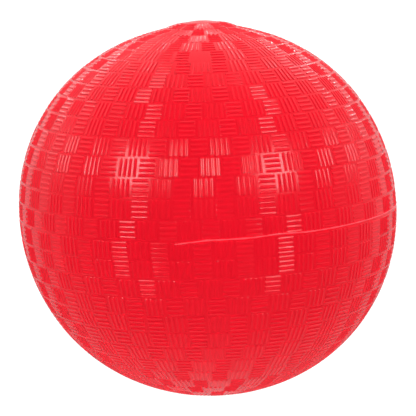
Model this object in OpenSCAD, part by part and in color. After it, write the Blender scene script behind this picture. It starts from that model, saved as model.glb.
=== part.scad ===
// Playground rubber ball, two plies over a nylon-wound butyl bladder.
// The origin is the ball's centre. +Z runs along the mould axis, out through the valve.

/* [Ball] */
// Outside diameter, over the raised ribs of the cover
ball_d = 215.9; // [203.2:0.1:228.6]

/* [Plies] */
// Thickness of the outer rubber cover, from the tops of its ribs to its inside
cover_t = 1.1; // [1:0.05:2]
// Thickness of the rubber ply under the cover
ply_t = 0.6; // [0.5:0.05:1.2]
// Thickness of the layer of wound nylon thread
winding_t = 0.4; // [0.3:0.05:0.8]
// Thickness of the butyl bladder wall
bladder_t = 0.6; // [0.5:0.05:1.2]
// Gap left between two layers
layer_gap = 0.03; // [0.02:0.01:0.06]
// Number of gores in the bladder
gores = 4; // [4]

/* [Parting line] */
// Height of the flash that stands out along the equator
flash_h = 0.25; // [0.15:0.05:0.4]
// Width of the flash on one half of the cover
flash_w = 0.3; // [0.2:0.05:0.5]

/* [Valve] */
// Radius of the flat top of the plain boss around the valve
boss_r = 6; // [5:0.5:8]
// Height of the boss's top above the pole of the ball's sphere
boss_h = 0.2; // [0.1:0.05:0.5]
// Width of the boss's sloped skirt
skirt_w = 4; // [3:0.5:6]
// Radius of the hole through the cover and the ply
port_r = 3.6; // [3.4:0.05:4]
// Depth of the dished mouth around the hole
dish_h = 0.4; // [0.2:0.05:0.5]
// Width of the dished mouth beyond the hole's edge
dish_w = 0.7; // [0.4:0.05:1]
// Radius of the housing's domed flange, under the ply
flange_r = 15; // [13:0.5:17]
// Outside radius of the housing's stem
stem_r = 6; // [5.5:0.1:7]
// Length of the stem below the flange
stem_l = 15; // [14:0.5:18]
// Radius of the patch that holds the stem to the bladder
patch_r = 24; // [20:0.5:28]
// Thickness of the patch
patch_t = 0.8; // [0.6:0.05:1]

/* [Valve insert] */
// Outside radius of the rubber insert
insert_r = 3; // [2.9:0.05:3.2]
// Length of the insert
insert_l = 16; // [15:0.5:16.5]
// Radius of the inflating needle's channel
needle_r = 1.1; // [1:0.05:1.2]
// Length of the needle's channel
needle_l = 13; // [12:0.5:14]
// Clearance between the insert and its bore, on the radius
insert_fit = 0.05; // [0.03:0.01:0.08]
// Number of grip grooves around the insert
grooves = 4; // [3:5]
// Depth of a grip groove
groove_h = 0.35; // [0.2:0.05:0.4]
// Width of a grip groove
groove_w = 0.9; // [0.6:0.1:1]

/* [Hidden] */
$fn = 96;

ball_r = ball_d / 2;
ply_r = ball_r - cover_t - layer_gap;
winding_r = ply_r - ply_t - layer_gap;
bladder_r = winding_r - winding_t - layer_gap;
patch_out_r = bladder_r - bladder_t - layer_gap;
// Radius in the middle of the cover's thickness, where the flash and the boss are rooted
root_r = ball_r - cover_t / 2;
skirt_r = boss_r + skirt_w;

// The flange fills a round seat through the winding and the bladder.
flange_t = winding_t + layer_gap + bladder_t;
seat_fit = 0.1;
seat_r = flange_r + seat_fit;
bore_r = insert_r + insert_fit;
// The insert's head sits a little below the foot of the cover's dished mouth.
mouth_z = ball_r + boss_h;
head_drop = 0.3;
head_z = mouth_z - dish_h - head_drop;
foot_z = head_z - insert_l;
foot_gap = 0.05;
housing_foot_z = winding_r - flange_t - stem_l;
gore_angle = 360 / gores;
// Depth that the foot of the flash lies below the ball's surface
flash_sink = 0.05;
// A length that reaches past the ball on every side, and one that reaches just past a face
reach = ball_d;
overcut = 1;

// Outline of a spherical layer in the half plane x > 0
module layer_outline(outer_r, thickness) {
  intersection() {
    difference() {
      circle(outer_r);
      circle(outer_r - thickness);
    }
    translate([0, -reach]) square([reach, 2 * reach]);
  }
}

// Spherical layer swept through an angle from +X
module layer(outer_r, thickness, angle = 360) {
  rotate_extrude(angle = angle) layer_outline(outer_r, thickness);
}

// Round hole through the top of every layer, on the valve's axis
module valve_hole(radius) {
  cylinder(r = radius, h = reach);
}

// Flash on one half of the cover: a low wedge whose crest lies on the parting plane
module flash() {
  rotate_extrude()
    polygon([[root_r, 0], [ball_r + flash_h, 0], [ball_r - flash_sink, flash_w], [root_r, flash_w]]);
}

// Upper half of one layer, from the parting plane to the pole
module cover_half() {
  intersection() {
    layer(ball_r, cover_t);
    cylinder(r = reach, h = reach);
  }
  flash();
}

// Plain boss at the pole: flat on top, with a sloped skirt that runs out into the sphere
module boss() {
  edge_z = sqrt(pow(ball_r, 2) - pow(skirt_r, 2));
  rotate_extrude()
    difference() {
      polygon([[0, 0], [skirt_r, 0], [skirt_r, edge_z], [boss_r, mouth_z], [0, mouth_z]]);
      circle(root_r);
    }
}

// Space of the dished mouth that guides the needle in
module dish() {
  floor_z = mouth_z - dish_h;
  lip_r = port_r + dish_w;
  rotate_extrude()
    polygon([[0, floor_z], [port_r, floor_z], [lip_r, mouth_z],
             [lip_r, mouth_z + overcut], [0, mouth_z + overcut]]);
}

module cover_upper() {
  color([0.86, 0.05, 0.09])
    difference() {
      union() {
        cover_half();
        boss();
      }
      valve_hole(port_r);
      dish();
    }
}

module cover_lower() {
  color([0.82, 0.04, 0.08]) mirror([0, 0, 1]) cover_half();
}

// Half of the inner ply. Its butt joint runs over the poles, across the cover's parting line.
module ply_half() {
  difference() {
    rotate([0, 0, -90]) layer(ply_r, ply_t, 180);
    valve_hole(port_r);
  }
}

module ply_left() {
  color([0.55, 0.09, 0.08]) rotate([0, 0, 180]) ply_half();
}

module ply_right() {
  color([0.62, 0.1, 0.09]) ply_half();
}

module nylon_winding() {
  color([0.93, 0.92, 0.86])
    difference() {
      layer(winding_r, winding_t);
      valve_hole(seat_r);
    }
}

// One gore of the bladder, from pole to pole
module bladder_gore(index) {
  color([0.13 + 0.02 * index, 0.13 + 0.02 * index, 0.14 + 0.02 * index])
    rotate([0, 0, index * gore_angle])
      difference() {
        layer(bladder_r, bladder_t, gore_angle);
        valve_hole(seat_r);
      }
}

// Round patch cemented inside the bladder, around the stem
module valve_patch() {
  color([0.1, 0.1, 0.11])
    difference() {
      intersection() {
        layer(patch_out_r, patch_t);
        cylinder(r = patch_r, h = reach);
      }
      valve_hole(stem_r + layer_gap);
    }
}

module valve_housing() {
  color([0.08, 0.08, 0.09])
    difference() {
      union() {
        intersection() {
          layer(winding_r, flange_t);
          cylinder(r = flange_r, h = reach);
        }
        translate([0, 0, housing_foot_z]) cylinder(r = stem_r, h = stem_l + flange_t / 2);
      }
      // Straight bore, open at the top, with a foot under the insert
      translate([0, 0, foot_z - foot_gap]) cylinder(r = bore_r, h = reach);
      // Narrow way through the foot for the air
      translate([0, 0, housing_foot_z - overcut]) cylinder(r = needle_r, h = stem_l);
    }
}

module valve_insert() {
  pitch = insert_l / (grooves + 1);
  color([0.2, 0.2, 0.21])
    difference() {
      translate([0, 0, foot_z]) cylinder(r = insert_r, h = insert_l);
      translate([0, 0, head_z - needle_l]) cylinder(r = needle_r, h = needle_l + overcut);
      // Grip grooves, evenly spaced along the insert
      for (i = [1:grooves])
        translate([0, 0, foot_z + i * pitch - groove_w / 2])
          difference() {
            cylinder(r = insert_r + overcut, h = groove_w);
            cylinder(r = insert_r - groove_h, h = groove_w);
          }
    }
}

cover_upper();
cover_lower();
ply_left();
ply_right();
nylon_winding();
bladder_gore(0);  // bladder_gore_1
bladder_gore(1);  // bladder_gore_2
bladder_gore(2);  // bladder_gore_3
bladder_gore(3);  // bladder_gore_4
valve_patch();
valve_housing();
valve_insert();
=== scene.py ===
"""Playground rubber ball.

A basket-weave cover in two halves lies over its plies, winding, bladder and valve.
"""

import math
import random

import bpy
import numpy as np
from mathutils import Matrix, Vector


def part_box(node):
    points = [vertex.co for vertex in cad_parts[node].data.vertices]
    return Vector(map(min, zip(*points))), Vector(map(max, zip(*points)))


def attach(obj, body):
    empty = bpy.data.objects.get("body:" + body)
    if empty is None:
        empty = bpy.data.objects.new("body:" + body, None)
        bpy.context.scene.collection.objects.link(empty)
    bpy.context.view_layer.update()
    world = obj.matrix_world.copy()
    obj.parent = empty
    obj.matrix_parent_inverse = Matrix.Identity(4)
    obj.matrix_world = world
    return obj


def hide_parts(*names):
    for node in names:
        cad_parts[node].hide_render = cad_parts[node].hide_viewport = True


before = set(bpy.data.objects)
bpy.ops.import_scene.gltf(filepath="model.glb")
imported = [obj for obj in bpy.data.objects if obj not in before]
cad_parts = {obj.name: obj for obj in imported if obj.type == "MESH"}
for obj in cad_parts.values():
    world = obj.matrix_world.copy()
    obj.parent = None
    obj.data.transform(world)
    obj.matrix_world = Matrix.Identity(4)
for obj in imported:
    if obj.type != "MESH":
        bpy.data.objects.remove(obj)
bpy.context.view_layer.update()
MM = 0.001
random.seed(8)

# ---------------------------------------------------------------------------------------------
# Sizes read from the frame
# ---------------------------------------------------------------------------------------------


def bottom_radius(node):
    """Outside radius of a spherical layer, from its lowest point."""
    return -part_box(node)[0][2]


BALL_R = bottom_radius("cover_lower")
PLY_R = bottom_radius("ply_left")
WINDING_R = bottom_radius("nylon_winding")
BLADDER_R = bottom_radius("bladder_gore_1")
MOUTH_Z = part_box("cover_upper")[1][2]
FLANGE_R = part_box("valve_housing")[1][0]
PATCH_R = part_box("valve_patch")[1][0]
INSERT_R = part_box("valve_insert")[1][0]

LAYER_GAP = 0.03 * MM
PLY_T, BLADDER_T, PATCH_T = 0.6 * MM, 0.6 * MM, 0.8 * MM
PATCH_OUT_R = BLADDER_R - BLADDER_T - LAYER_GAP
FLANGE_T = WINDING_R - BLADDER_R + BLADDER_T
PORT_R = INSERT_R + 0.6 * MM
SEAT_R = FLANGE_R + 0.1 * MM
BORE_R = INSERT_R + 0.05 * MM
STEM_R = 6 * MM
NEEDLE_R = 1.1 * MM
DISH_H = 0.4 * MM
DISH_W = 0.7 * MM

# ---------------------------------------------------------------------------------------------
# The basket weave
# ---------------------------------------------------------------------------------------------

RIB_H = 0.4 * MM
FLOOR_R = BALL_R - RIB_H
RIBS = 4
# Fractions of a cell: one rib's width and the ramp at a rib's end
RIB_W = 0.17
RIB_END = 0.03
# Plain margin of a cell at the ribs' ends, on level ribs and on upright ribs
END_MARGIN = 0.095, 0.045
# Across one rib: (fraction of its width, fraction of its height)
RIB_PROFILE = ((0, 0), (0.2, 0.72), (0.5, 1), (0.8, 0.72), (1, 0))

# Rows of cells from the parting line to the pole, and the cells in a row at the ball's widest
UPPER_ROWS, LOWER_ROWS = 15, 14
WIDEST_ROW = 60
# Below 1, so that cells get narrower towards the pole, though not as fast as the rows get shorter
CROWDING = 0.8


# Latitudes of the smooth rings that close the lower half past its last row
PLAIN_POLE_LATS = 85.5, 87.5, 89
# Upper row and longitude of the one cell whose ribs were never cut
BARE_CELL = 10, 1


def upper_edge(k):
    """Latitude of the lower edge of upper row k: the rows get shorter towards the pole."""
    return 6.0 * k - 0.033 * k * k + 0.0005 * k**3


def lower_edge(k):
    return 5.33 * k + 0.105 * k * k - 0.0054 * k**3


def row_plan(rows, edge):
    """Number of cells and starting longitude of each row.

    An odd row ends with two like cells side by side.
    """
    plan = []
    for k in range(rows):
        middle = math.radians((edge(k) + edge(k + 1)) / 2)
        count = round(WIDEST_ROW * math.cos(middle) ** CROWDING)
        plan.append((count, random.uniform(-180, 180)))
    return plan


class Mesh:
    """Points and faces of one piece. Points are (longitude, distance from the axis, height)."""

    def __init__(self):
        self.points, self.faces, self.groups, self.high = [], [], [], []

    def ring(self, lons, radius, height, high=0.0):
        """Adds one point per longitude and returns (longitudes, indices)."""
        n = len(lons)
        start = len(self.points)
        radius, height = np.broadcast_to(radius, n), np.broadcast_to(height, n)
        self.points += list(zip(lons, radius, height))
        self.high += [high] * n
        return np.asarray(lons, float), np.arange(start, start + n)

    def face(self, corners, group):
        self.faces.append(tuple(int(c) for c in corners))
        self.groups.append(group)

    def zip(self, lower, upper, group):
        """Joins two closed rings with different counts by triangles."""
        (a, ia), (b, ib) = lower, upper
        shift = int(np.argmin(np.abs((b - a[0] + 180) % 360 - 180)))
        b, ib = np.roll(b, -shift), np.roll(ib, -shift)
        b = a[0] + (b[0] - a[0] + 180) % 360 - 180 + (b - b[0]) % 360
        a = a[0] + (a - a[0]) % 360
        a, b = np.append(a, a[0] + 360), np.append(b, b[0] + 360)
        ia, ib = np.append(ia, ia[0]), np.append(ib, ib[0])
        i = j = 0
        while i < len(a) - 1 or j < len(b) - 1:
            if j == len(b) - 1 or (i < len(a) - 1 and a[i + 1] <= b[j + 1]):
                self.face((ia[i], ia[i + 1], ib[j]), group)
                i += 1
            else:
                self.face((ia[i], ib[j + 1], ib[j]), group)
                j += 1

    def loft(self, lower, upper, group):
        """Joins two closed rings with the same count by quads."""
        (_, ia), (_, ib) = lower, upper
        n = len(ia)
        for i in range(n):
            k = (i + 1) % n
            self.face((ia[i], ia[k], ib[k], ib[i]), group)

    def cap(self, ring, height, group):
        """Closes a ring with a fan to a point on the axis."""
        self.points.append((0.0, 0.0, height))
        self.high.append(0.0)
        tip, ids = len(self.points) - 1, ring[1]
        for i in range(len(ids)):
            self.face((ids[i], ids[(i + 1) % len(ids)], tip), group)


# The valve's flange holds the crown to the true sphere, with a soft shoulder between these latitudes
CROWN_LATS = 77.0, 83.0


def smooth_step(value, start, end):
    t = np.clip((value - start) / (end - start), 0, 1)
    return t * t * (3 - 2 * t)


def swell(x, y, z):
    """Radial departure from a true sphere at a direction: the slack of a moulded, inflated ball."""
    around = np.arctan2(z, x)
    lobes = (
        -0.25
        + 1.1 * np.cos(2 * (around - math.radians(-21.7)))
        + 0.24 * np.cos(3 * (around - math.radians(43.1)))
        + 0.48 * np.cos(4 * (around - math.radians(50.3)))
    )
    lat = np.degrees(np.arcsin(np.clip(z, -1, 1)))
    return lobes * (1 - y * y) * (1 - smooth_step(lat, *CROWN_LATS)) * MM


def smooth_noise(lons, seed, waves):
    """Sum of a few sine waves round the ball, between about -1 and 1."""
    rng = random.Random(seed)
    total = np.zeros(len(lons))
    for n in waves:
        total += math.sqrt(1 / len(waves)) * np.sin(n * np.radians(lons) + rng.uniform(0, 2 * math.pi))
    return total


FLOOR, RIB_A, RIB_B, FLASH, BOSS, WALL = range(6)
# Added to a rib's group on the short ramps at its two ends, so that they meet the rib at a sharp edge
TIP = 10


def across_ribs():
    """Points across a cell's ribs: places as fractions of the cell, heights, and each strip's group."""
    place, height, strips = [], [], []
    for i in range(RIBS):
        for t, h in RIB_PROFILE:
            place.append((i + 0.5) / RIBS + (t - 0.5) * RIB_W)
            height.append(h)
        strips += [RIB_A, RIB_A, RIB_B, RIB_B, FLOOR]
    return np.array(place), np.array(height), strips[:-1]


def along_ribs(margin):
    """The same along the ribs: a short ramp at each end."""
    place = np.array([margin, margin + RIB_END, 0.35, 0.65, 1 - margin - RIB_END, 1 - margin])
    return place, np.array([0, 1, 1, 1, 1, 0.0])


ACROSS, ACROSS_H, STRIPS = across_ribs()


def cell(mesh, lon0, width, lat0, lat1, upright, bare):
    """One cell of ribs. Returns its grid of points, [latitude][longitude], and their angles."""
    along, along_h = along_ribs(END_MARGIN[upright])
    if upright:
        u, hu, v, hv = ACROSS, ACROSS_H, along, along_h
    else:
        u, hu, v, hv = along, along_h, ACROSS, ACROSS_H
    wobble = random.uniform(-0.008, 0.008), random.uniform(-0.008, 0.008)
    height = np.outer(hv, hu) * random.uniform(0.85, 1.0) * (0 if bare else 1)
    lats = lat0 + (v + wobble[0]) * (lat1 - lat0)
    lons = lon0 + (u + wobble[1]) * width
    rows = []
    for lat, h in zip(lats, height):
        r = FLOOR_R + RIB_H * h
        c, s = math.cos(math.radians(lat)), math.sin(math.radians(lat))
        start = len(mesh.points)
        mesh.points += list(zip(lons, r * c, r * s))
        mesh.high += list(h)
        rows.append(np.arange(start, start + len(lons)))
    grid = np.array(rows)
    for j in range(len(v) - 1):
        for i in range(len(u) - 1):
            corners = (grid[j, i], grid[j, i + 1], grid[j + 1, i + 1], grid[j + 1, i])
            across, lengthways = (i, j) if upright else (j, i)
            group = STRIPS[across]
            if group != FLOOR and lengthways in (0, len(along) - 2):
                group += TIP
            mesh.face(corners, group)
    return grid, lons, lats


def side_strip(mesh, left, right):
    """Fills the plain strip between two neighbouring cells of a row."""
    (ga, _, va), (gb, _, vb) = left, right
    ia, ib = ga[:, -1], gb[:, 0]
    i = j = 0
    while i < len(ia) - 1 or j < len(ib) - 1:
        if j == len(ib) - 1 or (i < len(ia) - 1 and va[i + 1] <= vb[j + 1]):
            mesh.face((ia[i], ib[j], ia[i + 1]), FLOOR)
            i += 1
        else:
            mesh.face((ia[i], ib[j], ib[j + 1]), FLOOR)
            j += 1


def weave_row(mesh, count, start, low_lat, top_lat, bare_lon):
    """One row of cells round the ball. Returns its lower and upper rings."""
    width = 360 / count
    cells = []
    for i in range(count):
        lon = start + i * width
        bare = bare_lon is not None and (bare_lon - lon) % 360 < width
        cells.append(cell(mesh, lon, width, low_lat, top_lat, i % 2 == 1, bare))
    for i in range(count):
        side_strip(mesh, cells[i], cells[(i + 1) % count])
    low = np.concatenate([lons for _, lons, _ in cells]), np.concatenate([g[0] for g, _, _ in cells])
    top = np.concatenate([lons for _, lons, _ in cells]), np.concatenate([g[-1] for g, _, _ in cells])
    return low, top


def even_lons(count):
    return np.arange(count) * 360 / count - 180


# Every smooth layer has its points on the same grid, so that the gaps between the layers stay open
LAYER_LONS = 96
LAYER_LAT_STEP = 3


# The parting line: height of its faint ridge, half its width, and how close ribs lean with it
PART_H, PART_W = 0.03 * MM, 0.3 * MM
PART_REACH = 4 * MM
# Latitude of the first rib on each side
PART_LAT = 0.12
# The flash is a bead of squeezed-out rubber: longitudes where it starts and ends, and its tapers
FLASH_ENDS = -9.8, 100.0
FLASH_TAPERS = 1.2, 25.0
FLASH_STEP = 0.75
FLASH_DEPTH = 0.6 * MM
# Value of the rib_height attribute on the flash, where ribs have 0 to 1: the material paints a pale
# highlight colour there
FLASH_MARK = 3.0
# Its section: (distance from its middle, height over the ball), south to north
FLASH_SECTION = ((-0.34, -0.12), (-0.2, 0.08), (0, 0.15), (0.2, 0.08), (0.34, -0.12))


def part_wander(lons):
    """How far the parting line strays above its plane."""
    ripple = smooth_noise(lons, 5, (5, 11, 23, 37))
    return (0.5 - 0.25 * np.cos(2 * np.radians(lons)) + 0.1 * ripple) * MM


def flash_path(lon):
    """Height of the flash over the parting plane: it hangs at its start, then humps beside it."""
    drift = 1.1 - 0.65 * math.cos(2 * math.radians(lon))
    hump = 0.8 * math.exp(-(((lon - 20) / 6) ** 2))
    hang = 1.9 * max(0.0, 1 - (lon - FLASH_ENDS[0]) / 9)
    return (drift + hump - hang) * MM


def flash_bead(mesh):
    start, end = FLASH_ENDS
    lons = np.arange(start, end, FLASH_STEP)
    rough = 1 + 0.25 * smooth_noise(lons, 3, (37, 71, 103))
    full = smooth_step(lons, start - FLASH_STEP, start + FLASH_TAPERS[0])
    full = full * (1 - smooth_step(lons, end - FLASH_TAPERS[1], end + FLASH_STEP))
    base = tuple((across, -FLASH_DEPTH / MM) for across in (0.3, -0.3))
    sections = []
    for lon, size in zip(lons, full * rough):
        lat = flash_path(lon) / BALL_R
        first = len(mesh.points)
        for across, out in FLASH_SECTION + base:
            r = BALL_R + (out - 0.3 * (1 - min(size, 1))) * MM
            turn = lat + across * size * MM / BALL_R
            mesh.points.append((lon, r * math.cos(turn), r * math.sin(turn)))
            mesh.high.append(FLASH_MARK)
        sections.append(range(first, len(mesh.points)))
    mesh.face(sections[0], FLASH)
    mesh.face(sections[-1][::-1], FLASH)
    for a, b in zip(sections, sections[1:]):
        for i in range(len(a)):
            k = (i + 1) % len(a)
            mesh.face((a[i], b[i], b[k], a[k]), FLASH)


def cover_half(name, node, rows, edge, sign):
    """One half of the cover, with that many rows. sign is 1 for the upper half and -1 for the lower."""
    mesh = Mesh()
    inner_r = PLY_R + LAYER_GAP
    seam = even_lons(480)
    crest = mesh.ring(seam, FLOOR_R + PART_H, 0)
    below = mesh.ring(seam, FLOOR_R, PART_W)
    mesh.loft(crest, below, FLASH)
    for k, (count, start) in enumerate(row_plan(rows, edge)):
        bare_lon = BARE_CELL[1] if sign > 0 and k == BARE_CELL[0] else None
        low, top = weave_row(mesh, count, start, max(edge(k), PART_LAT), edge(k + 1), bare_lon)
        mesh.zip(below, low, FLOOR)
        below = top
    coarse = even_lons(LAYER_LONS)
    if sign > 0:
        tip = boss(mesh, below, coarse)
    else:
        for lat in PLAIN_POLE_LATS:
            c, s = math.cos(math.radians(lat)), math.sin(math.radians(lat))
            here = mesh.ring(coarse, FLOOR_R * c, FLOOR_R * s)
            (mesh.loft if len(below[0]) == LAYER_LONS else mesh.zip)(below, here, FLOOR)
            below = here
        mesh.cap(below, FLOOR_R, FLOOR)
        tip = None
    inner_wall(mesh, crest, tip, inner_r, coarse)
    lean_with_parting(mesh, sign)
    if sign > 0:
        flash_bead(mesh)
    return build(mesh, name, sign), node


def lean_with_parting(mesh, sign):
    """Shifts the points near the parting line along with it, so that both halves still meet."""
    lons, radii, heights = np.array(mesh.points).T
    lons = (lons + 180) % 360 - 180
    near = np.clip(1 - heights / PART_REACH, 0, 1)
    mesh.points = list(zip(lons, radii, heights + sign * part_wander(lons) * near))


def height_on(radius, across):
    """Height on a sphere at a distance from its axis."""
    return math.sqrt(radius * radius - across * across)


def boss(mesh, below, coarse):
    """Plain crown round the valve, with its dished mouth and port. Returns the port's lower ring."""
    lip_r = PORT_R + DISH_W
    rings = [
        (10.2 * MM, height_on(FLOOR_R, 10.2 * MM)),
        (9.5 * MM, height_on(BALL_R - 0.05 * MM, 9.5 * MM)),
        (8.2 * MM, height_on(BALL_R, 8.2 * MM) + 0.06 * MM),
        (6.8 * MM, height_on(BALL_R, 6.8 * MM) + 0.16 * MM),
        (5.5 * MM, MOUTH_Z - 0.05 * MM),
        (lip_r + 0.3 * MM, MOUTH_Z),
        (lip_r, MOUTH_Z - 0.03 * MM),
        (PORT_R + 0.15 * MM, MOUTH_Z - DISH_H + 0.05 * MM),
        (PORT_R, MOUTH_Z - DISH_H - 0.08 * MM),
        (PORT_R, height_on(PLY_R + LAYER_GAP, PORT_R)),
    ]
    for i, (r, z) in enumerate(rings):
        here = mesh.ring(coarse, r, z)
        (mesh.zip if i == 0 else mesh.loft)(below, here, BOSS)
        below = here
    return below


def inner_wall(mesh, crest, port, radius, coarse):
    """The smooth inside of a cover half, from the valve port or the pole down to the parting line."""
    above = port
    for lat in range(90 - LAYER_LAT_STEP, -1, -LAYER_LAT_STEP):
        c, s = math.cos(math.radians(lat)), math.sin(math.radians(lat))
        here = mesh.ring(coarse, radius * c, radius * s)
        if above is None:
            mesh.points.append((0.0, 0.0, radius))
            mesh.high.append(0.0)
            pole, ids = len(mesh.points) - 1, here[1]
            for i in range(len(ids)):
                mesh.face((ids[i], ids[(i + 1) % len(ids)], pole)[::-1], WALL)
        else:
            mesh.loft(above, here, WALL)
        above = here
    mesh.zip(above, crest, WALL)


def build(mesh, name, sign=1):
    """Makes the Blender object, with the swell and with sharp edges between groups."""
    p = np.array(mesh.points)
    lon = np.radians(p[:, 0])
    xyz = np.stack([p[:, 1] * np.sin(lon), -p[:, 1] * np.cos(lon), sign * p[:, 2]], 1)
    length = np.linalg.norm(xyz, axis=1, keepdims=True)
    way = xyz / length
    xyz = xyz + way * swell(*way.T)[:, None]
    faces = [f if sign > 0 else f[::-1] for f in mesh.faces]
    data = bpy.data.meshes.new(name)
    data.from_pydata(xyz.tolist(), [], faces)
    data.update()
    data.shade_smooth()
    mark_sharp(data, np.array(mesh.groups))
    raised = data.attributes.new("rib_height", "FLOAT", "POINT")
    raised.data.foreach_set("value", np.array(mesh.high, np.float32))
    piece = bpy.data.objects.new(name, data)
    bpy.context.scene.collection.objects.link(piece)
    return piece


def mark_sharp(data, groups):
    """Marks the edges between faces of different groups as sharp."""
    edge_of = np.empty(len(data.loops), np.int32)
    data.loops.foreach_get("edge_index", edge_of)
    sizes = np.empty(len(data.polygons), np.int32)
    data.polygons.foreach_get("loop_total", sizes)
    group_of = np.repeat(groups, sizes)
    low = np.full(len(data.edges), 99)
    high = np.full(len(data.edges), -1)
    np.minimum.at(low, edge_of, group_of)
    np.maximum.at(high, edge_of, group_of)
    sharp = data.attributes.get("sharp_edge") or data.attributes.new("sharp_edge", "BOOLEAN", "EDGE")
    sharp.data.foreach_set("value", low != high)


# ---------------------------------------------------------------------------------------------
# The layers under the cover
# ---------------------------------------------------------------------------------------------


def arc(radius, low, edge):
    """Outline points up a sphere on the layers' grid, from a latitude to an edge round the axis."""
    top = math.degrees(math.acos(edge / radius))
    lats = list(np.arange(low, top - 0.2, LAYER_LAT_STEP)) + [top]
    angles = [math.radians(lat) for lat in lats]
    return [(radius * math.cos(angle), radius * math.sin(angle)) for angle in angles]


def shell_outline(outer, thickness, hole):
    """Outline of a spherical layer from its bottom pole to the hole round the valve."""
    return arc(outer, -90, hole) + arc(outer - thickness, -90, hole)[::-1]


def lathe(name, outline, first=0.0, turn=360.0):
    """Sweeps an outline round the valve's axis. A part turn ends in flat faces."""
    mesh = Mesh()
    steps = round(LAYER_LONS * turn / 360)
    whole = turn == 360
    lons = first + np.arange(steps if whole else steps + 1) * turn / steps
    rings = []
    for r, z in outline:
        on_axis = r < 1e-9
        ids = mesh.ring(lons[:1] if on_axis else lons, r, z)[1]
        rings.append(np.repeat(ids, len(lons)) if on_axis else ids)

    def face(corners):
        corners = list(dict.fromkeys(int(c) for c in corners))
        if len(corners) > 2:
            mesh.face(corners, 0)

    for k, ring in enumerate(rings):
        if k == len(rings) - 1 and not whole and outline[0][0] < 1e-9:
            break
        above = rings[(k + 1) % len(rings)]
        for i in range(steps):
            j = (i + 1) % len(ring)
            face((ring[i], ring[j], above[j], above[i]))
    if not whole:
        for k in range(len(rings) // 2 - 1):
            strip = (rings[k], rings[k + 1], rings[-2 - k], rings[-1 - k])
            face(ring[0] for ring in strip)
            face([ring[-1] for ring in strip][::-1])
    piece = build(mesh, name)
    piece.data.set_sharp_from_angle(angle=math.radians(35))
    return piece


def plies():
    outline = shell_outline(PLY_R, PLY_T, PORT_R)
    return (
        (lathe("ply_left_half", outline, -180, 180), "ply_left"),
        (lathe("ply_right_half", outline, 0, 180), "ply_right"),
    )


def gores():
    outline = shell_outline(BLADDER_R, BLADDER_T, SEAT_R)
    for k in range(1, 5):
        yield lathe(f"bladder_sector_{k}", outline, 90 * k, 90), f"bladder_gore_{k}"


def patch():
    outline = arc(PATCH_OUT_R, lat_at(PATCH_OUT_R, PATCH_R), STEM_R + LAYER_GAP)
    feather = PATCH_R - 1.2 * MM
    inner_r = PATCH_OUT_R - PATCH_T
    outline += arc(inner_r, lat_at(inner_r, feather), STEM_R + LAYER_GAP)[::-1]
    return lathe("valve_patch_feathered", outline)


def lat_at(radius, across):
    return math.degrees(math.acos(across / radius))


def housing():
    """The valve housing: domed flange, stem with a rounded foot, bore and needle way."""
    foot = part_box("valve_housing")[0][2]
    bore_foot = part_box("valve_insert")[0][2] - 0.05 * MM
    under = WINDING_R - FLANGE_T
    rounding = 0.8 * MM
    rim_z = height_on(WINDING_R, FLANGE_R)
    outline = [(r, height_on(WINDING_R, r)) for r in (BORE_R, STEM_R, 10 * MM)]
    outline += [(FLANGE_R - 0.2 * MM, rim_z), (FLANGE_R, rim_z - 0.2 * MM)]
    outline += [(r, height_on(under, r)) for r in (FLANGE_R, STEM_R)]
    turn = math.radians(90)
    for i in range(5):
        a = turn * i / 4
        outline.append((STEM_R - rounding * (1 - math.cos(a)), foot + rounding * (1 - math.sin(a))))
    outline += [(NEEDLE_R, foot), (NEEDLE_R, bore_foot), (BORE_R, bore_foot)]
    return lathe("valve_housing_moulded", outline[::-1])


THREADS = 90
THREAD_R = 0.09 * MM
THREAD_STEPS = 120


def winding():
    """Nylon thread wound in great circles that miss the valve, over a thin coat of latex."""
    coat = 0.2 * MM
    outline = shell_outline(WINDING_R - coat, (WINDING_R - BLADDER_R) - coat - LAYER_GAP, SEAT_R)
    piece = lathe("nylon_wound_layer", outline)
    clear = (SEAT_R + 0.6 * MM) / WINDING_R
    centre = WINDING_R - THREAD_R - 0.01 * MM
    rng = random.Random(21)
    points, faces = [], []
    while len(points) < THREADS * THREAD_STEPS * 4:
        pole = Vector([rng.gauss(0, 1) for _ in range(3)]).normalized()
        if abs(pole.z) < clear:
            continue
        side = pole.orthogonal().normalized()
        ahead = pole.cross(side)
        start = len(points)
        for i in range(THREAD_STEPS):
            a = 2 * math.pi * i / THREAD_STEPS
            way = side * math.cos(a) + ahead * math.sin(a)
            lift = swell(np.array(way.x), np.array(way.y), np.array(way.z))
            for out, across in ((1, 0), (0, 1), (-1, 0), (0, -1)):
                points.append(way * (centre + float(lift) + THREAD_R * out) + pole * THREAD_R * across)
        for i in range(THREAD_STEPS):
            a, b = start + 4 * i, start + 4 * ((i + 1) % THREAD_STEPS)
            for k in range(4):
                m = (k + 1) % 4
                faces.append((a + k, a + m, b + m, b + k))
    base = piece.data
    count = len(base.vertices)
    whole = bpy.data.meshes.new("nylon_wound_layer")
    all_points = [tuple(v.co) for v in base.vertices] + [tuple(p) for p in points]
    all_faces = [tuple(f.vertices) for f in base.polygons]
    all_faces += [tuple(count + i for i in f) for f in faces]
    whole.from_pydata(all_points, [], all_faces)
    whole.shade_smooth()
    piece.data = whole
    bpy.data.meshes.remove(base)
    return piece


# ---------------------------------------------------------------------------------------------
# Materials
# ---------------------------------------------------------------------------------------------


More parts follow.
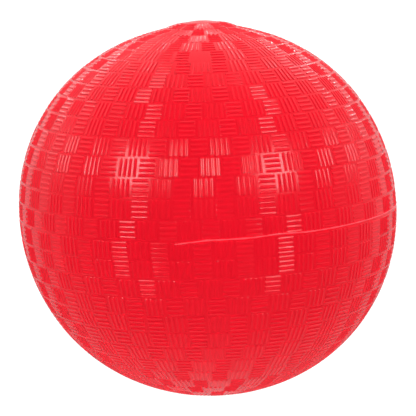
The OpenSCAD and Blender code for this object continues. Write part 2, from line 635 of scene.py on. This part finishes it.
class Nodes:
    """Short ways to add and link the nodes of one material."""

    def __init__(self, name):
        self.material = bpy.data.materials.new(name)
        self.material.use_nodes = True
        self.tree = self.material.node_tree
        self.shader = self.tree.nodes["Principled BSDF"]

    def add(self, kind, **values):
        node = self.tree.nodes.new(kind)
        for key, value in values.items():
            if hasattr(node, key):
                setattr(node, key, value)
            else:
                node.inputs[key].default_value = value
        return node

    def link(self, source, target):
        self.tree.links.new(source, target)

    def noise(self, scale, detail=3.0):
        node = self.add("ShaderNodeTexNoise", Scale=scale, Detail=detail)
        self.link(self.place, node.inputs["Vector"])
        return node.outputs["Fac"]

    @property
    def place(self):
        if not hasattr(self, "_place"):
            self._place = self.add("ShaderNodeTexCoord").outputs["Object"]
        return self._place

    def attribute(self, name):
        return self.add("ShaderNodeAttribute", attribute_name=name).outputs["Fac"]

    def between(self, factor, low, high, start=0.3, end=0.7):
        """Maps a factor to a range of numbers."""
        node = self.add("ShaderNodeMapRange")
        for key, value in (("From Min", start), ("From Max", end), ("To Min", low), ("To Max", high)):
            node.inputs[key].default_value = value
        self.link(factor, node.inputs["Value"])
        return node.outputs["Result"]

    def mix(self, factor, low, high):
        """Mixes two colours. The low one may be another node's output."""
        node = self.add("ShaderNodeMix", data_type="RGBA")
        if isinstance(low, tuple):
            node.inputs[6].default_value = (*low, 1)
        else:
            self.link(low, node.inputs[6])
        node.inputs[7].default_value = (*high, 1)
        self.link(factor, node.inputs["Factor"])
        return node.outputs[2]

    def colour(self, factor, low, high):
        self.link(self.mix(factor, low, high), self.shader.inputs["Base Color"])

    def roughness(self, factor, low, high):
        self.link(self.between(factor, low, high), self.shader.inputs["Roughness"])

    def bump(self, height, distance, strength=1.0):
        node = self.add("ShaderNodeBump", Distance=distance, Strength=strength)
        self.link(height, node.inputs["Height"])
        self.link(node.outputs["Normal"], self.shader.inputs["Normal"])


def red_rubber():
    """Glossy red rubber: cloudy, with painted shade that makes it a little deeper between the ribs, and
    painted pale on the flash as a painted highlight.
    """
    m = Nodes("red_rubber")
    rise = m.attribute("rib_height")
    # Painted shade: this factor makes the red deeper on the floor between the ribs and lighter on the
    # rib tops, on top of a random cloudy tone.
    tone_and_groove_shade = m.add("ShaderNodeMath", operation="MULTIPLY_ADD")
    m.link(rise, tone_and_groove_shade.inputs[0])
    tone_and_groove_shade.inputs[1].default_value = 0.4
    m.link(m.between(m.noise(14, 4), 0.0, 0.6), tone_and_groove_shade.inputs[2])
    red = m.mix(tone_and_groove_shade.outputs[0], (0.80, 0.0045, 0.017), (0.88, 0.006, 0.021))
    # Painted highlight: the flash bead is coloured pale pink, as if it caught the light along its
    # crest.
    flash_highlight_paint = m.between(rise, 0.0, 1.0, FLASH_MARK / 2, FLASH_MARK - 0.5)
    m.colour(flash_highlight_paint, red, (0.92, 0.075, 0.105))
    m.roughness(m.noise(60, 4), 0.17, 0.23)
    m.bump(m.noise(700, 3), 0.03 * MM)
    m.shader.inputs["IOR"].default_value = 1.5
    return m.material


def ply_rubber():
    """Calendered ply, duller and browner than the cover."""
    m = Nodes("ply_rubber")
    m.colour(m.noise(30, 5), (0.30, 0.030, 0.022), (0.42, 0.045, 0.030))
    m.roughness(m.noise(200, 2), 0.6, 0.8)
    m.bump(m.noise(900, 2), 0.05 * MM)
    return m.material


def wound_nylon():
    """Off-white thread, bonded with latex that has yellowed in places."""
    m = Nodes("wound_nylon")
    m.colour(m.noise(25, 5), (0.78, 0.75, 0.66), (0.88, 0.86, 0.80))
    m.roughness(m.noise(150, 3), 0.4, 0.6)
    m.bump(m.noise(2500, 2), 0.02 * MM)
    m.shader.inputs["Sheen Weight"].default_value = 0.2
    return m.material


def butyl():
    """Black butyl with a bloom of talc."""
    m = Nodes("butyl")
    m.colour(m.noise(18, 6), (0.012, 0.012, 0.014), (0.035, 0.034, 0.036))
    m.roughness(m.noise(90, 3), 0.45, 0.7)
    m.bump(m.noise(600, 3), 0.04 * MM)
    return m.material


def moulded_black():
    """Smooth black rubber, a little uneven in its gloss."""
    m = Nodes("moulded_black")
    m.colour(m.noise(120, 4), (0.016, 0.016, 0.017), (0.028, 0.028, 0.030))
    m.roughness(m.noise(300, 3), 0.35, 0.5)
    m.bump(m.noise(1500, 2), 0.02 * MM)
    return m.material


# ---------------------------------------------------------------------------------------------
# Stage
# ---------------------------------------------------------------------------------------------

CAMERA_ELEVATION, CAMERA_ROLL = 8.8, 2.1
CAMERA_DISTANCE = 10 * BALL_R
BALL_SHARE_OF_FRAME = 0.9071
CAMERA_SHIFT = -0.00035, 0.0035
SENSOR = 36.0
# How the lights reach the ball: panels for highlights, and wide fills for its matt colour
PANEL_DISTANCE, PANEL_SIZE = 1.3, 0.46
KEY_RADIANCE, BACK_RADIANCE = 6.5, 1.2
FILL_SPREAD = 150
# Brightness of the floor and of what the camera sees behind the ball
WHITE = 1.05
# Axis value where the glow starts and where it is full, then the glow at each
ROOM_BACK = (-0.3, 0.9, 0.0, 1.0)
ROOM_ABOVE = (-0.2, 0.6, 0.4, 0.8)
ROOM_FLOOR = (-0.9, -0.3, 0.17, 0.06)
FLOOR_DROP, FLOOR_REACH = 1.5 * MM, 12


def camera():
    data = bpy.data.cameras.new("camera")
    cam = bpy.data.objects.new("camera", data)
    bpy.context.scene.collection.objects.link(cam)
    bpy.context.scene.camera = cam
    e = math.radians(CAMERA_ELEVATION)
    cam.location = (0, -CAMERA_DISTANCE * math.cos(e), CAMERA_DISTANCE * math.sin(e))
    cam.matrix_world = (
        Matrix.Translation(cam.location)
        @ Matrix.Rotation(math.radians(90) - e, 4, "X")
        @ Matrix.Rotation(math.radians(-CAMERA_ROLL), 4, "Z")
    )
    half = BALL_R / math.sqrt(CAMERA_DISTANCE**2 - BALL_R**2)  # tangent of the ball's half angle
    data.sensor_width = SENSOR
    data.lens = SENSOR / 2 * BALL_SHARE_OF_FRAME / half
    data.shift_x, data.shift_y = CAMERA_SHIFT
    data.clip_start, data.clip_end = 0.05, 50


def direction(azimuth, elevation):
    """Unit vector from the ball. Azimuth 0 is in front and positive to the right, in degrees."""
    a, e = math.radians(azimuth), math.radians(elevation)
    return Vector((math.sin(a) * math.cos(e), -math.cos(a) * math.cos(e), math.sin(e)))


def softbox(name, azimuth, elevation, radiance):
    """A square panel of even brightness, aimed at the ball, that makes only highlights."""
    data = bpy.data.lights.new(name, "AREA")
    data.shape = "RECTANGLE"
    data.size, data.size_y = PANEL_SIZE, PANEL_SIZE
    data.energy = math.pi * radiance * PANEL_SIZE * PANEL_SIZE
    lamp = bpy.data.objects.new(name, data)
    bpy.context.scene.collection.objects.link(lamp)
    way = direction(azimuth, elevation)
    lamp.location = way * PANEL_DISTANCE
    lamp.rotation_mode = "QUATERNION"
    lamp.rotation_quaternion = way.to_track_quat("Z", "Y")
    lamp.visible_camera = lamp.visible_diffuse = False
    data.cycles.use_multiple_importance_sampling = False


def fill_light(name, azimuth, elevation, brightness):
    """Very wide, shadowless light that leaves no highlight.

    Its brightness is what a white surface that faces it shows.
    """
    data = bpy.data.lights.new(name, "SUN")
    data.energy = math.pi * brightness
    data.angle = math.radians(FILL_SPREAD)
    data.cycles.use_multiple_importance_sampling = False
    data.use_shadow = False
    lamp = bpy.data.objects.new(name, data)
    bpy.context.scene.collection.objects.link(lamp)
    lamp.rotation_mode = "QUATERNION"
    lamp.rotation_quaternion = direction(azimuth, elevation).to_track_quat("Z", "Y")
    lamp.visible_glossy = False


def surroundings():
    """White to the camera; to the ball, a dim room that is paler behind, above and at the floor."""
    world = bpy.data.worlds.new("studio_room")
    bpy.context.scene.world = world
    world.use_nodes = True
    tree = world.node_tree

    def add(kind, **values):
        node = tree.nodes.new(kind)
        for key, value in values.items():
            node.inputs[key].default_value = value
        return node

    axes = add("ShaderNodeSeparateXYZ")
    tree.links.new(add("ShaderNodeTexCoord").outputs["Generated"], axes.inputs[0])

    def ramp(axis, start, end, low, high):
        ends = {"From Min": start, "From Max": end, "To Min": low, "To Max": high}
        node = add("ShaderNodeMapRange", **ends)
        tree.links.new(axes.outputs[axis], node.inputs["Value"])
        return node.outputs["Result"]

    glow = tree.nodes.new("ShaderNodeMath")
    glow.operation = "MULTIPLY_ADD"
    tree.links.new(ramp("Y", *ROOM_BACK), glow.inputs[0])
    tree.links.new(ramp("Z", *ROOM_ABOVE), glow.inputs[1])
    tree.links.new(ramp("Z", *ROOM_FLOOR), glow.inputs[2])
    room = tree.nodes["Background"]
    room.inputs["Color"].default_value = (1, 1, 1, 1)
    tree.links.new(glow.outputs[0], room.inputs["Strength"])
    backdrop = add("ShaderNodeBackground", Color=(1, 1, 1, 1), Strength=WHITE)
    pick = tree.nodes.new("ShaderNodeMixShader")
    tree.links.new(add("ShaderNodeLightPath").outputs["Is Camera Ray"], pick.inputs[0])
    tree.links.new(room.outputs[0], pick.inputs[1])
    tree.links.new(backdrop.outputs[0], pick.inputs[2])
    tree.links.new(pick.outputs[0], tree.nodes["World Output"].inputs["Surface"])


def studio():
    bpy.context.scene.view_settings.view_transform = "Standard"
    surroundings()
    softbox("key_left", -47.5, 29.6, KEY_RADIANCE)
    softbox("key_right", 44.5, 27.3, KEY_RADIANCE)
    softbox("back_left", -155, 32, BACK_RADIANCE)
    softbox("back_right", 155, 32, BACK_RADIANCE)
    fill_light("fill_above", 0, 90, 0.95)
    fill_light("fill_front", 0, 0, 0.32)
    fill_light("fill_back", 180, 0, 0.5)
    fill_light("fill_below", 0, -90, 0.74)


def floor():
    """A bare white floor, lit evenly, just under the ball, and clear when seen from below."""
    data = bpy.data.meshes.new("floor")
    z, far = -BALL_R - FLOOR_DROP, FLOOR_REACH
    corners = [(-far, -far, z), (far, -far, z), (far, far, z), (-far, far, z)]
    data.from_pydata(corners, [], [(0, 1, 2, 3)])
    plane = bpy.data.objects.new("floor", data)
    bpy.context.scene.collection.objects.link(plane)
    m = Nodes("lit_floor")
    m.shader.inputs["Base Color"].default_value = (0, 0, 0, 1)
    m.shader.inputs["Emission Color"].default_value = (1, 1, 1, 1)
    m.shader.inputs["Emission Strength"].default_value = WHITE
    clear = m.add("ShaderNodeBsdfTransparent")
    one_sided = m.add("ShaderNodeMixShader")
    m.link(m.add("ShaderNodeNewGeometry").outputs["Backfacing"], one_sided.inputs[0])
    m.link(m.shader.outputs[0], one_sided.inputs[1])
    m.link(clear.outputs[0], one_sided.inputs[2])
    m.link(one_sided.outputs[0], m.tree.nodes["Material Output"].inputs["Surface"])
    data.materials.append(m.material)
    m.material.cycles.emission_sampling = "NONE"
    plane.visible_diffuse = plane.visible_glossy = plane.visible_shadow = False


def place(piece, node, slot, material):
    piece.data.materials.clear()
    piece.data.materials.append(material)
    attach(piece, "ball")
    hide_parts(node)


camera()
floor()
studio()

COVER = red_rubber()
for piece, node in (
    cover_half("cover_upper_ribbed", "cover_upper", UPPER_ROWS, upper_edge, 1),
    cover_half("cover_lower_ribbed", "cover_lower", LOWER_ROWS, lower_edge, -1),
):
    place(piece, node, "cover_rubber", COVER)
PLY = ply_rubber()
for piece, node in plies():
    place(piece, node, "ply_rubber", PLY)
place(winding(), "nylon_winding", "nylon_thread", wound_nylon())
BUTYL = butyl()
for piece, node in gores():
    place(piece, node, "bladder_butyl", BUTYL)
place(patch(), "valve_patch", "bladder_butyl", BUTYL)
VALVE = moulded_black()
place(housing(), "valve_housing", "valve_rubber", VALVE)
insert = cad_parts["valve_insert"]
insert.data.materials.clear()
insert.data.materials.append(VALVE)
